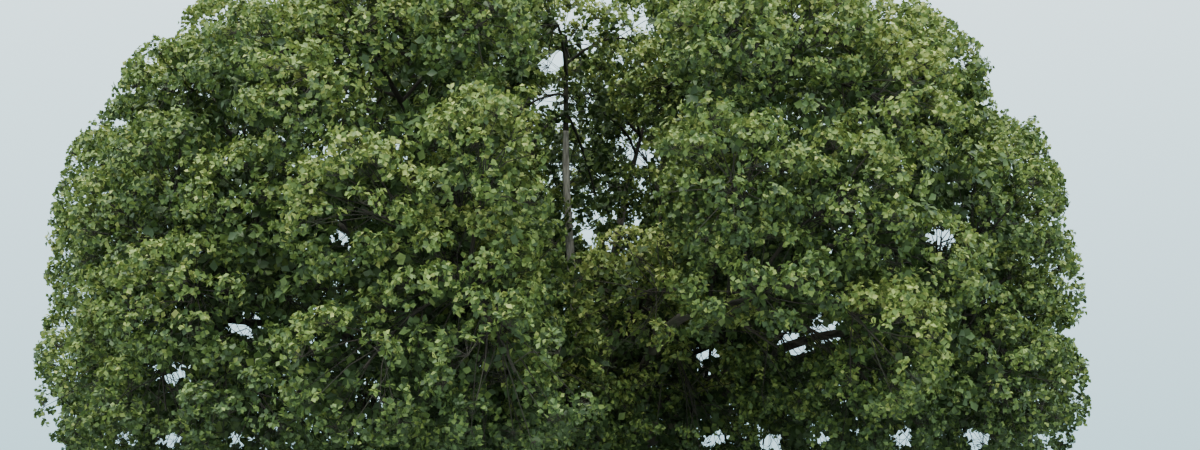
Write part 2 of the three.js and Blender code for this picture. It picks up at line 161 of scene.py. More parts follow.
link(bark_coordinates.outputs["Object"], lichen_patches.inputs["Vector"])
link(ridge_value.outputs["Fac"], plate_or_fissure.inputs["Factor"])
link(grain_in.outputs["Fissure"], plate_or_fissure.inputs[6])
link(grain_in.outputs["Plate"], plate_or_fissure.inputs[7])
link(lichen_patches.outputs["Fac"], lichen_edge.inputs["Value"])
link(lichen_edge.outputs["Result"], lichen_share.inputs[0])
link(grain_in.outputs["Lichen Amount"], lichen_share.inputs[1])
link(lichen_share.outputs["Value"], with_lichen.inputs["Factor"])
link(plate_or_fissure.outputs[2], with_lichen.inputs[6])
link(grain_in.outputs["Lichen"], with_lichen.inputs[7])
link(ridge_value.outputs["Fac"], bark_height.inputs[0])
link(bark_speckle.outputs["Fac"], bark_height.inputs[1])
link(with_lichen.outputs[2], grain_out.inputs["Color"])
link(bark_height.outputs["Value"], grain_out.inputs["Height"])


def bark_material(name, plate, fissure, lichen, lichen_amount):
    """Rough dead bark coloured by its relief, with fine bumps on its plates."""
    material = bpy.data.materials.new(name)
    material.use_nodes = True
    nodes = material.node_tree.nodes
    shader = nodes["Principled BSDF"]
    shader.inputs["Roughness"].default_value = 0.93
    grain = nodes.new("ShaderNodeGroup")
    grain.node_tree = bark_grain
    grain.inputs["Plate"].default_value = (*plate, 1)
    grain.inputs["Fissure"].default_value = (*fissure, 1)
    grain.inputs["Lichen"].default_value = (*lichen, 1)
    grain.inputs["Lichen Amount"].default_value = lichen_amount
    bump = nodes.new("ShaderNodeBump")
    bump.inputs["Strength"].default_value = 0.5
    bump.inputs["Distance"].default_value = 0.012
    connect = material.node_tree.links.new
    connect(grain.outputs["Color"], shader.inputs["Base Color"])
    connect(grain.outputs["Height"], bump.inputs["Height"])
    connect(bump.outputs["Normal"], shader.inputs["Normal"])
    return material


old_bark = bark_material("old bark", (0.105, 0.09, 0.07), (0.016, 0.014, 0.011),
                         (0.09, 0.11, 0.05), 0.55)
trunk_bark.data.materials.append(old_bark)
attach(trunk_bark, "root")
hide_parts("trunk")

# Boughs
# One tapering limb of wood and bark to each mass of leaves. Long low boughs, rising boughs and
# upright leaders grow from the trunk's head or fork off one another, each from a swollen collar.
CROWN_SPREAD = 26.0
CROWN_HEIGHT = 15.2
CROWN_WIDEST_AT = 4.9
CROWN_SKIRT_AT = 1.8
CROWN_SHIFT = -0.55
DOME_POWER = 2.8
SKIRT_POWER = 5
BOUGH_PULL = 0.36
BOUGH_TAPER = 0.85
COLLAR_LENGTH = 0.48
COLLAR_SWELL = 0.32
HEAD_ROOTING = 0.55
FORK_SLIMMING = 0.72
FORK_TURN = 12
STEM_SHARE = 0.36
BOUGH_SEGMENTS = 26
BOUGH_RINGS = 70
BOUGH_FISSURE = 0.055  # of a bough's radius
BOUGH_CURVE_POINTS = 201  # in a bough's curve before it is cut into even steps
BARK_FROM = 20.0  # where the first bough's pattern of bark is taken from
BARK_APART = 7  # and how far on the next bough's
STEEP = 0.9  # a direction's height from which a side is found from X and not from up
# The rings of boughs. For each: the angle above level at which its masses lie in the dome, their
# share of the way out to its surface, the middle and width of the ring's gap in degrees from the
# front, how far a mass reaches, the angles above level at which a bough leaves and arrives, its
# radii, and the share of its length at which the next bough forks off it.
TIERS = [
    {"name": "low", "count": 9, "rise": 1, "out": 0.755, "gap_at": 6, "gap": 31, "lobe": 5.0,
     "leave": 12, "arrive": -2, "root": 0.29, "tip": 0.095, "fork": 0.3},
    {"name": "rising", "count": 8, "rise": 35, "out": 0.76, "gap_at": 4, "gap": 56, "lobe": 4.9,
     "leave": 47, "arrive": 34, "root": 0.28, "tip": 0.095, "fork": 0.34},
    {"name": "upright", "count": 6, "rise": 64, "out": 0.73, "gap_at": 4, "gap": 96, "lobe": 4.3,
     "leave": 74, "arrive": 62, "root": 0.255, "tip": 0.085, "fork": 0.45},
]
# The inner boughs fork off the rising ones, to masses in the shade round the middle of the crown
INNER = {"count": 4, "azimuth": 20, "radius": 4.5, "height": 5.9, "lobe": 3.3,
         "fork": 0.24, "slimming": 0.55, "tip": 0.08}
# The top leader goes up through the middle, and its bow is the way in which it sets out
TOP = {"out": 0.75, "lobe": 4.2, "root": 0.17, "tip": 0.08, "bow": (-0.9, -0.7, 6.5)}
up = np.array([0.0, 0.0, 1.0])
head_middle = np.array([TRUNK_LEAN, 0.0, HEAD_AT])


def unit(vector):
    """The same direction with a length of one."""
    return vector / np.linalg.norm(vector, axis=-1, keepdims=True)


def heading(azimuth, above):
    """A direction from an azimuth, 0 to the front and 90 to the right, and an angle above level."""
    a, e = math.radians(azimuth), math.radians(above)
    return np.array([math.sin(a) * math.cos(e), -math.cos(a) * math.cos(e), math.sin(e)])


def crown_point(azimuth, rise, out):
    """A spot in the crown's dome, at the share out of the way to its surface."""
    flat = abs(math.cos(math.radians(rise))) ** (2 / DOME_POWER)
    high = abs(math.sin(math.radians(rise))) ** (2 / DOME_POWER)
    height = CROWN_WIDEST_AT + (CROWN_HEIGHT - CROWN_WIDEST_AT) * out * high
    return heading(azimuth, 0) * CROWN_SPREAD / 2 * out * flat + (CROWN_SHIFT, 0, height)


def make_bough(name, start, leave, end, arrive, root, tip):
    """A bough's evenly spaced centre line with its radius at each step."""
    pull = np.linalg.norm(end - start) * BOUGH_PULL
    t = np.linspace(0, 1, BOUGH_CURVE_POINTS)[:, None]
    line = ((1 - t) ** 3 * start + 3 * t * (1 - t) ** 2 * (start + leave * pull)
            + 3 * t ** 2 * (1 - t) * (end - arrive * pull) + t ** 3 * end)
    steps = np.concatenate([[0], np.cumsum(np.linalg.norm(np.diff(line, axis=0), axis=1))])
    shares = np.linspace(0, 1, BOUGH_RINGS + 1)
    even = np.stack([np.interp(shares * steps[-1], steps, line[:, i]) for i in range(3)], axis=1)
    collar = 1 + COLLAR_SWELL * np.exp(-shares * steps[-1] / COLLAR_LENGTH)
    radius = (root + (tip - root) * shares ** BOUGH_TAPER) * collar
    return {"name": name, "line": even, "radius": radius, "length": steps[-1], "arrive": arrive}


def along_bough(bough, share):
    """A bough's middle and its radius at a share of its length."""
    at = share * BOUGH_RINGS
    low = min(int(at), BOUGH_RINGS - 1)
    mix = at - low
    line, radius = bough["line"], bough["radius"]
    return (line[low] * (1 - mix) + line[low + 1] * mix,
            radius[low] * (1 - mix) + radius[low + 1] * mix)


masses = []
rising_hosts = []
for tier in TIERS:
    step = (360 - tier["gap"]) / (tier["count"] - 1)
    host = None
    for i in range(tier["count"]):
        azimuth = tier["gap_at"] + tier["gap"] / 2 + step * i
        middle = crown_point(azimuth, tier["rise"], tier["out"])
        arrive = heading(azimuth, tier["arrive"])
        end = middle - arrive * tier["lobe"] * STEM_SHARE
        name = f"{tier['name']}_{i + 1}"
        if host:
            start, radius = along_bough(host, tier["fork"])
            bough = make_bough(f"bough_{name}", start, heading(azimuth + FORK_TURN, tier["leave"]),
                               end, arrive, radius * FORK_SLIMMING, tier["tip"])
            host = None
        else:
            rooting = heading(azimuth + step / 2, tier["leave"]) * HEAD_ROOTING
            start = head_middle + rooting * (HEAD_RADIUS, HEAD_RADIUS, HEAD_HEIGHT)
            bough = make_bough(f"bough_{name}", start, heading(azimuth - step / 10, tier["leave"]),
                               end, arrive, tier["root"], tier["tip"])
            host = bough
            if tier["name"] == "rising":
                rising_hosts.append(bough)
        masses.append({"name": f"foliage_{name}", "middle": middle, "lobe": tier["lobe"],
                       "bough": bough})
for i in range(INNER["count"]):
    flat = heading(INNER["azimuth"] + 360 / INNER["count"] * i, 0) * INNER["radius"]
    middle = flat + (CROWN_SHIFT, 0, INNER["height"])
    start, radius = along_bough(rising_hosts[i], INNER["fork"])
    arrive = unit(middle - start)
    bough = make_bough(f"bough_inner_{i + 1}", start, arrive,
                       middle - arrive * INNER["lobe"] * STEM_SHARE, arrive,
                       radius * INNER["slimming"], INNER["tip"])
    masses.append({"name": f"foliage_inner_{i + 1}", "middle": middle, "lobe": INNER["lobe"],
                   "bough": bough})
middle = crown_point(0, 90, TOP["out"])
bough = make_bough("leader_top", head_middle + (0, 0, HEAD_HEIGHT / 2), unit(np.array(TOP["bow"])),
                   middle - up * TOP["lobe"] * STEM_SHARE, up, TOP["root"], TOP["tip"])
masses.append({"name": "foliage_top", "middle": middle, "lobe": TOP["lobe"], "bough": bough})


def ring_frames(line):
    """Two directions square to a line at each of its points, with no twist from one to the next."""
    tangents = unit(np.gradient(line, axis=0))
    aside = np.array([1.0, 0.0, 0.0]) if abs(tangents[0][2]) > STEEP else up
    first = unit(np.cross(aside, tangents[0]))
    normals = []
    for tangent in tangents:
        first = unit(first - tangent * np.dot(first, tangent))
        normals.append(first)
    normals = np.array(normals)
    return normals, np.cross(tangents, normals)


def bough_object(bough, offset):
    """A bough's bark round its centre line."""
    normals, binormals = ring_frames(bough["line"])

    def place(angle, share):
        ring = round(share * BOUGH_RINGS)
        radius = bough["radius"][ring]
        relief = bark_relief(angle, share * bough["length"], radius, offset)
        radius -= BOUGH_FISSURE * radius * (1 - relief)
        spot = (bough["line"][ring] + normals[ring] * math.cos(angle) * radius
                + binormals[ring] * math.sin(angle) * radius)
        return spot, relief

    return tube_object(f"{bough['name']}_bark", BOUGH_SEGMENTS, BOUGH_RINGS, place)


young_bark = bark_material("young bark", (0.085, 0.075, 0.06), (0.02, 0.018, 0.014),
                           (0.07, 0.09, 0.04), 0.4)
pale_bark = bark_material("pale bark", (0.33, 0.3, 0.25), (0.12, 0.105, 0.085),
                          (0.2, 0.21, 0.14), 0.25)
for i, mass in enumerate(masses):
    piece = bough_object(mass["bough"], BARK_FROM + BARK_APART * i)
    piece.data.materials.append(pale_bark if mass["bough"]["name"] == "leader_top" else young_bark)
    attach(piece, "root")
    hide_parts(mass["bough"]["name"])

# Branches and twigs
# Each bough goes on into its mass as a leader of young oak wood. Branches leave it for clumps that
# lie under the crown's surface, each clump carries tufts, and each tuft a fan of thin twigs. They
# thin out in the shade, and none grows into the crown's openings.
CELL_GAP = 0.04  # between the spaces of two masses
# The crown's openings, by degrees to the right of its front: a cleft that splits its upper half,
# and two sunken windows in its lower half
CLEFT_AZIMUTH = 2
CLEFT_HALF_WIDTH = 1.25
CLEFT_FLOOR = 7.2
CLEFT_BACK = -0.9
CLEFT_CLOSES_FROM = 9.5  # above this height the cleft narrows to a slit at the crown's top
CLEFT_SLIT = 0.45  # of its width, at the top
CLEFT_WAVE = 0.3  # how far its walls wave in and out
CLEFT_WAVES_UP = 2.1  # how fast they wave with the height, in radians a metre
CLEFT_WAVES_IN = 1.3  # and with the depth
WINDOWS = [
    {"azimuth": 7.2, "half_angle": 5.8, "floor": 3.2, "top": 7.2, "back": 7.4},
    {"azimuth": 20, "half_angle": 10, "floor": 3.0, "top": 4.7, "back": 6.0},
]
WINDOW_WAVE = 0.25  # how far a window's floor and top wave up and down
WINDOW_WAVES_ACROSS = 2.3
WINDOW_WAVES_IN = 1.7
middles = np.array([mass["middle"] for mass in masses])
outs = unit(middles - (CROWN_SHIFT, 0, CROWN_WIDEST_AT))


def inside_crown(points):
    """Whether each point lies in the crown's dome, clear of its cleft and its windows."""
    x, y, z = points[..., 0], points[..., 1], points[..., 2]
    flat = points[..., :2] - (CROWN_SHIFT, 0)
    round_out = np.linalg.norm(flat, axis=-1)
    above = z - CROWN_WIDEST_AT
    high = np.where(above > 0, above / (CROWN_HEIGHT - CROWN_WIDEST_AT),
                    -above / (CROWN_WIDEST_AT - CROWN_SKIRT_AT))
    power = np.where(above > 0, DOME_POWER, SKIRT_POWER)
    kept = (round_out / (CROWN_SPREAD / 2)) ** power + high ** power <= 1
    turn = math.radians(CLEFT_AZIMUTH)
    across = x * math.cos(turn) + y * math.sin(turn)
    closing = np.clip((z - CLEFT_CLOSES_FROM) / (CROWN_HEIGHT - CLEFT_CLOSES_FROM), 0, 1)
    half_width = CLEFT_HALF_WIDTH * (1 - (1 - CLEFT_SLIT) * closing)
    half_width += CLEFT_WAVE * np.sin(CLEFT_WAVES_UP * z + CLEFT_WAVES_IN * y + np.sign(across))
    kept &= ~((y < CLEFT_BACK) & (z > CLEFT_FLOOR) & (np.abs(across) < half_width))
    azimuth = np.degrees(np.arctan2(flat[..., 0], -flat[..., 1]))
    waved = z + WINDOW_WAVE * np.sin(WINDOW_WAVES_ACROSS * x + WINDOW_WAVES_IN * y)
    for window in WINDOWS:
        kept &= ~((waved > window["floor"]) & (waved < window["top"])
                  & (round_out > window["back"])
                  & (np.abs(azimuth - window["azimuth"]) < window["half_angle"]))
    return kept


def inside_space(index, points):
    """Whether each point lies in a mass's own space in the crown."""
    mass = masses[index]
    away = points - mass["middle"]
    kept = inside_crown(points) & (np.linalg.norm(away, axis=-1) < mass["lobe"])
    others = np.delete(middles, index, axis=0) - mass["middle"]
    apart = np.linalg.norm(others, axis=1)
    return kept & (away @ (others / apart[:, None]).T < apart / 2 - CELL_GAP / 2).all(axis=-1)


MARCH = 0.09  # the step in which a space's edge is looked for


def reach(inside, start, directions, longest):
    """How far a space goes from a start in each direction, by its test of points."""
    steps = np.arange(1, int(longest / MARCH) + 2) * MARCH
    kept = inside(start + directions[:, None, :] * steps[None, :, None])
    kept[:, -1] = False
    return np.argmin(kept, axis=1) * MARCH


GOLDEN = math.pi * (3 - math.sqrt(5))
UPRIGHT = 0.99  # a direction's height from which square_to sets out from X


def square_to(direction):
    """Two directions square to one and to each other."""
    aside = up if abs(direction[2]) < UPRIGHT else np.array([1.0, 0.0, 0.0])
    u = unit(np.cross(aside, direction))
    return u, np.cross(direction, u)


def directions_from(out, count, share, turn):
    """Directions spread evenly from out over a share of all directions, by the golden angle."""
    i = np.arange(count)
    facing = 1 - 2 * share * i / (count - 1)
    flat = np.sqrt(np.clip(1 - facing ** 2, 0, 1))
    u, v = square_to(out)
    return (out * facing[:, None] + u * (flat * np.cos(turn + i * GOLDEN))[:, None]
            + v * (flat * np.sin(turn + i * GOLDEN))[:, None])


SIGHTS = 26  # directions in which the crown's surface is looked for
SIGHTS_OVER = 0.6  # of all directions, the upper ones that light comes from
sights = directions_from(up, SIGHTS, SIGHTS_OVER, 0.0)


def lit(points, depth):
    """Whether the crown's surface lies within a depth above or beside each point."""
    return (~inside_crown(points[:, None] + sights[None] * depth)).any(axis=1)


LOW_MASSES_AT = 5.5  # the middles of the low masses lie below this height
LOW_CLOSENESS = 0.9  # of the spacing, low in the crown
HIGH_CLOSENESS = 0.88  # of the spacing, at its top


def spaced(points, spacing):
    """The numbers of the points that stand clear of all kept before them."""
    share = np.clip((points[:, 2] - LOW_MASSES_AT) / (CROWN_HEIGHT - LOW_MASSES_AT), 0, 1)
    gaps = spacing * (LOW_CLOSENESS + (HIGH_CLOSENESS - LOW_CLOSENESS) * share)
    kept = []
    for i, point in enumerate(points):
        if not kept or np.linalg.norm(points[kept] - point, axis=1).min() > gaps[i]:
            kept.append(i)
    return np.array(kept, dtype=int)


# Where the clumps and the shaded tufts may stand in each mass, and then those that keep apart
CLUMP_WAYS = 260  # directions from a mass's middle that are tried for a clump
CLUMP_RADIUS = 1.5
CLUMP_SIZES = (0.8, 1.2)  # of that radius
CLUMP_SPACING = 2.45
CLUMP_COVER = 0.45  # at most, between a clump's top and the crown's surface
CLUMP_BORDER = 0.15  # between a clump's middle and the edge of its mass's space
CLUMP_SLACK = 0.6  # how much deeper than its tufts a clump's middle may lie
TOP_CLUMP = (1.3, 0.0, 13.55)  # closes a notch beside the cleft's upper end
MASS_ROUNDING = 0.8  # how much deeper the clumps lie that face across from their mass
SKIRT_FILL = 0.5  # how much of its cover a clump loses towards the crown's flat underside
CORE = 0.3  # nothing stands nearer than this to a mass's middle
LIT_DEPTH = 2.4  # no clump or tuft grows deeper than this below the crown's lit surface
LOW_DEPTH = 3.9  # the same for the low masses, whose clumps stand in two layers
SHADE_DEPTH = 5.5  # the same for the inner masses, which bear leaves in the shade
LOW_LAYERS = (0.0, 2.2)  # how much deeper each of these two layers lies
SHADE_TUFT_DEPTHS = (1.9, 3.5)  # of the two layers of shaded tufts under the lit ones
SHADE_TUFT_SPACING = 1.4
SHADE_TUFT_BORDER = 0.1  # between a shaded tuft's middle and the edge of its mass's space
SHADE_TUFT_SLACK = 1  # how much deeper than its layer a shaded tuft may lie
CLUMP_SEED = 100
random = np.random.default_rng(CLUMP_SEED)
depths = np.full(len(masses), LIT_DEPTH)
depths[["low" in mass["name"] for mass in masses]] = LOW_DEPTH
depths[["inner" in mass["name"] for mass in masses]] = SHADE_DEPTH
spots, sizes, owners, shade_spots, shade_owners = [], [], [], [], []
for index, mass in enumerate(masses):
    ways = directions_from(outs[index], CLUMP_WAYS, 1, random.random() * 2 * math.pi)
    to_surface = reach(inside_crown, mass["middle"], ways, mass["lobe"] * 2)
    to_border = reach(lambda points: inside_space(index, points), mass["middle"], ways, mass["lobe"])
    radius = CLUMP_RADIUS * random.uniform(*CLUMP_SIZES, CLUMP_WAYS)
    cover = CLUMP_COVER * random.random(CLUMP_WAYS) + MASS_ROUNDING * (1 - ways @ outs[index]) ** 2
    free = (radius + cover) * (1 - SKIRT_FILL * np.clip(-ways[:, 2], 0, 1))
    for layer in LOW_LAYERS if "low" in mass["name"] else LOW_LAYERS[:1]:
        far = np.minimum(to_surface - free, to_border - CLUMP_BORDER) - layer
        spot = mass["middle"] + ways * np.maximum(far, CORE)[:, None]
        kept = lit(spot, depths[index] + CLUMP_SLACK)
        spots.append(spot[kept])
        sizes.append(radius[kept])
        owners.append(np.full(kept.sum(), index))
    for depth in SHADE_TUFT_DEPTHS:
        far = np.minimum(to_surface - depth, to_border - SHADE_TUFT_BORDER)
        spot = mass["middle"] + ways * np.maximum(far, CORE)[:, None]
        kept = lit(spot, depth + SHADE_TUFT_SLACK)
        shade_spots.append(spot[kept])
        shade_owners.append(np.full(kept.sum(), index))
spots, sizes, owners = np.concatenate(spots), np.concatenate(sizes), np.concatenate(owners)
kept = spaced(spots, CLUMP_SPACING)
spots = np.concatenate([spots[kept], [TOP_CLUMP]])
sizes, owners = np.append(sizes[kept], CLUMP_RADIUS), np.append(owners[kept], len(masses) - 1)
shade_spots, shade_owners = np.concatenate(shade_spots), np.concatenate(shade_owners)
kept = spaced(shade_spots, SHADE_TUFT_SPACING)
shade_spots, shade_owners = shade_spots[kept], shade_owners[kept]

# A leader goes on from each bough, and a branch leaves it for each clump of that mass
LEADER_SHARE = 0.45  # of the way from a mass's middle to its edge that its leader goes on
BRANCHES_FROM = 0.12  # of a leader's length, where its lowest branch may leave it
BRANCHES_OVER = 0.8  # of its length, over which the branches leave it
BRANCH_RISE = 0.14  # how far a branch bows upwards, of its length
BRANCH_CROOK = 0.06  # and to any side
leader_ends = np.zeros((len(masses), 3))
branch_starts = np.zeros(spots.shape)
for index, mass in enumerate(masses):
    own = owners == index
    middle, out, entry = mass["middle"], outs[index], mass["bough"]["line"][-1]
    own_reach = reach(lambda points: inside_space(index, points), middle, out[None], mass["lobe"])[0]
    leader_ends[index] = middle + out * own_reach * LEADER_SHARE
    share = BRANCHES_FROM + BRANCHES_OVER * (unit(spots[own] - middle) @ out + 1) / 2
    branch_starts[own] = entry + (leader_ends[index] - entry) * share[:, None]
branch_lengths = np.linalg.norm(spots - branch_starts, axis=1)[:, None]
branch_bows = (up * BRANCH_RISE + random.normal(0, BRANCH_CROOK, spots.shape)) * branch_lengths

# The tufts stand all round the clumps where no other clump covers them
TUFT_WAYS = 90  # directions from a clump's middle that are tried for a tuft
TUFTS_OVER = 0.9  # of all directions, from the one that faces out of the crown
TUFT_DEPTH = 0.3  # of a tuft's middle below its clump's surface
TUFT_SPACING = 0.78
TUFT_COVER = 0.15  # between a tuft's middle and the crown's surface
CLUMP_OVERLAP = 0.12  # a tuft may lie this deep under another clump's tufts
SHADED_BELOW = 1.8  # the depth from which all tufts are shaded ones
CLUMP_TONE_SPREAD = 0.1  # how much the clumps differ in the tones of their leaves
tuft_spots, tuft_ways, tuft_clumps = [], [], []
for k, spot in enumerate(spots):
    around = directions_from(outs[owners[k]], TUFT_WAYS, TUFTS_OVER, random.random() * 2 * math.pi)
    found = spot + around * (sizes[k] - TUFT_DEPTH)
    from_clumps = np.linalg.norm(found[:, None] - spots[None], axis=2)
    buried = from_clumps < sizes - TUFT_DEPTH - CLUMP_OVERLAP
    buried[:, k] = False
    kept = ~buried.any(axis=1) & inside_crown(found + around * TUFT_COVER)
    kept &= lit(found, depths[owners[k]])
    tuft_spots.append(found[kept])
    tuft_ways.append(around[kept])
    tuft_clumps.append(np.full(kept.sum(), k))
tuft_spots, tuft_ways = np.concatenate(tuft_spots), np.concatenate(tuft_ways)
tuft_clumps = np.concatenate(tuft_clumps)
kept = spaced(tuft_spots, TUFT_SPACING)
tuft_spots, tuft_ways, tuft_clumps = tuft_spots[kept], tuft_ways[kept], tuft_clumps[kept]

# Deep tufts are shaded ones too. Each tuft belongs to the mass whose middle is nearest to it
tuft_shaded = np.concatenate([~lit(tuft_spots, SHADED_BELOW), np.full(len(shade_spots), True)])
nearest_clump = np.linalg.norm(shade_spots[:, None] - spots[None], axis=2).argmin(axis=1)
tuft_clumps = np.concatenate([tuft_clumps, nearest_clump])
tuft_ways = np.concatenate([tuft_ways, unit(shade_spots - middles[shade_owners])])
tuft_spots = np.concatenate([tuft_spots, shade_spots])
tuft_owners = np.linalg.norm(tuft_spots[:, None] - middles[None], axis=2).argmin(axis=1)
clump_tones = random.normal(0, CLUMP_TONE_SPREAD, len(spots))

# From the front a few gaps show the sky, each made of several slits between the sprays. They are
# given by where their lines of sight cross the tree's middle plane, and by how wide they are
EYE_DISTANCE = 40.0  # from the tree's middle to the eye in front of it
EYE_RIGHT = 0.36
EYE_HEIGHT = 1.6
SKY_GAPS = [
    (-8.8, 6.0, 0.6), (-10.7, 4.7, 0.45), (-6.4, 8.2, 0.4), (9.3, 8.2, 0.45), (1.6, 10.4, 0.4),
    (5.3, 5.5, 0.5), (6.3, 5.8, 0.45), (3.0, 5.2, 0.35), (-1.1, 13.0, 0.4), (-0.9, 12.0, 0.4),
    (-12.0, 3.0, 0.3), (-10.5, 3.0, 0.35), (-8.9, 3.0, 0.3), (-6.8, 3.0, 0.2), (3.3, 3.0, 0.4),
    (4.7, 2.9, 0.35), (6.2, 3.0, 0.25), (8.1, 3.0, 0.4), (10.2, 3.0, 0.4),
]
SLITS = 6
SLIT_RADII = (0.4, 0.62)  # of the gap's own
SLIT_SPREAD = 0.6  # of the gap's radius
SLIT_FLATNESS = 0.4  # how far the slits spread upright, of how far they spread level
SLIT_SEED = 300
eye = np.array([EYE_RIGHT, -EYE_DISTANCE, EYE_HEIGHT])
gap_random = np.random.default_rng(SLIT_SEED)
slit_ways, slit_radii = [], []
for gap_x, gap_z, gap_radius in SKY_GAPS:
    off = gap_random.normal(0, gap_radius * SLIT_SPREAD, (SLITS, 2)) * (1, SLIT_FLATNESS)
    through = np.stack([gap_x + off[:, 0], np.zeros(SLITS), gap_z + off[:, 1]], axis=1)
    slit_ways.append(unit(through - eye))
    slit_radii.append(gap_radius * gap_random.uniform(*SLIT_RADII, SLITS))
slit_ways, slit_radii = np.concatenate(slit_ways), np.concatenate(slit_radii)


def out_of_slits(points):
    """Whether each point lies clear of the lines of sight that pass through to the sky."""
    from_eye = points - eye
    along = from_eye @ slit_ways.T
    off = np.sqrt(np.clip((from_eye ** 2).sum(axis=1)[:, None] - along ** 2, 0, None))
    return (off > slit_radii * along / EYE_DISTANCE).all(axis=1)


LIMBS_WITHIN = 6.5  # of a mass's middle, the limbs that its twigs could meet
LIMB_CLEARANCE = 0.03
limb_points = np.concatenate([mass["bough"]["line"] for mass in masses])
limb_radii = np.concatenate([mass["bough"]["radius"] for mass in masses])


def clear_of_limbs(points, middle):
    """Whether each point of the mass round a middle lies outside every bough's bark."""
    near = np.linalg.norm(limb_points - middle, axis=1) < LIMBS_WITHIN
    apart = np.linalg.norm(points[:, None, :] - limb_points[near][None], axis=2)
    return (apart > limb_radii[near] + LIMB_CLEARANCE).all(axis=1)


def aside_of(ways):
    """For each direction another that it doesn't lie along: up, or X where it is steep."""
    return np.where(np.abs(ways[:, 2:]) > STEEP, np.array([[1.0, 0.0, 0.0]]), up[None])


def spokes(starts, ends, sides):
    """Directions evenly round each line from its start to its end, square to it."""
    axis = unit(ends - starts)
    u = unit(np.cross(aside_of(axis), axis))
    v = np.cross(axis, u)
    turn = np.arange(sides) * 2 * math.pi / sides
    return u[:, None] * np.cos(turn)[None, :, None] + v[:, None] * np.sin(turn)[None, :, None]


def rods(starts, ends, thick, thin, bend, sides, steps):
    """Tapering rods from starts to ends, each bowed by bend at its middle, as points and faces."""
    t = np.linspace(0, 1, steps + 1)
    line = (starts[:, None] * (1 - t)[None, :, None] + ends[:, None] * t[None, :, None]
            + bend[:, None] * (4 * t * (1 - t))[None, :, None])
    radius = thick + (thin - thick) * t
    ring = spokes(starts, ends, sides)
    points = line[:, :, None] + ring[:, None] * radius[None, :, None, None]
    corner = np.arange(sides)
    level = np.arange(steps)[:, None] * sides
    following = (corner + 1) % sides
    lower = np.stack(np.broadcast_arrays(level + corner, level + following,
                                         level + sides + following), axis=-1)
    upper = np.stack(np.broadcast_arrays(level + corner, level + sides + following,
                                         level + sides + corner), axis=-1)
    wall = np.concatenate([lower.reshape(-1, 3), upper.reshape(-1, 3)])
    faces = np.arange(len(starts))[:, None, None] * sides * (steps + 1) + wall[None]
    return points.reshape(-1, 3), faces.reshape(-1, 3)


def spikes(starts, ends, thick):
    """Three-sided twigs that run out to a point, as points and faces."""
    ring = spokes(starts, ends, 3)
    points = np.concatenate([starts[:, None] + ring * thick, ends[:, None]], axis=1)
    faces = np.arange(len(starts))[:, None, None] * 4 + np.array([(0, 1, 3), (1, 2, 3), (2, 0, 3)])
    return points.reshape(-1, 3), faces.reshape(-1, 3)


TUFT_RADIUS = 0.52
TUFT_SIZES = (0.8, 1.25)  # of that radius
TUFT_FLATNESS = 0.82
TWIGS = 20
TWIGS_OVER = 0.56  # of all directions, from the tuft's own
TWIG_LENGTHS = (0.6, 1.15)  # of the tuft's radius
TWIG_JITTER = 0.1
TUFT_OUT = 0.8  # how far a tuft's own direction follows the way out of its clump
TUFT_UP = 0.4  # and how far it turns up to the light
SHADE_TUFT_RADIUS = 0.7
SHADE_TWIGS = 8


def fan_of(tuft, way, twigs, radius, random):
    """The ends of a tuft's twigs and the ways that they point."""
    axis = unit(way * TUFT_OUT + up * TUFT_UP)
    fan = directions_from(axis, twigs, TWIGS_OVER, random.random() * 2 * math.pi)
    fan = unit(fan + random.normal(0, TWIG_JITTER, fan.shape))
    length = radius * random.uniform(*TWIG_LENGTHS, twigs)
    return tuft + fan * length[:, None] * (1, 1, TUFT_FLATNESS), fan


LEADER_TIP = 0.04
BRANCH_RADII = (0.048, 0.022)
SIDE_BRANCH_RADII = (0.016, 0.008)
SIDE_BRANCHES_AT = (0.4, 0.97)  # of a branch's length
SIDE_BRANCH_CROOK = 0.06
SIDE_BRANCH_RISE = 0.08
TWIG_RADIUS = 0.007
TWIG_SEED = 200  # of the first mass


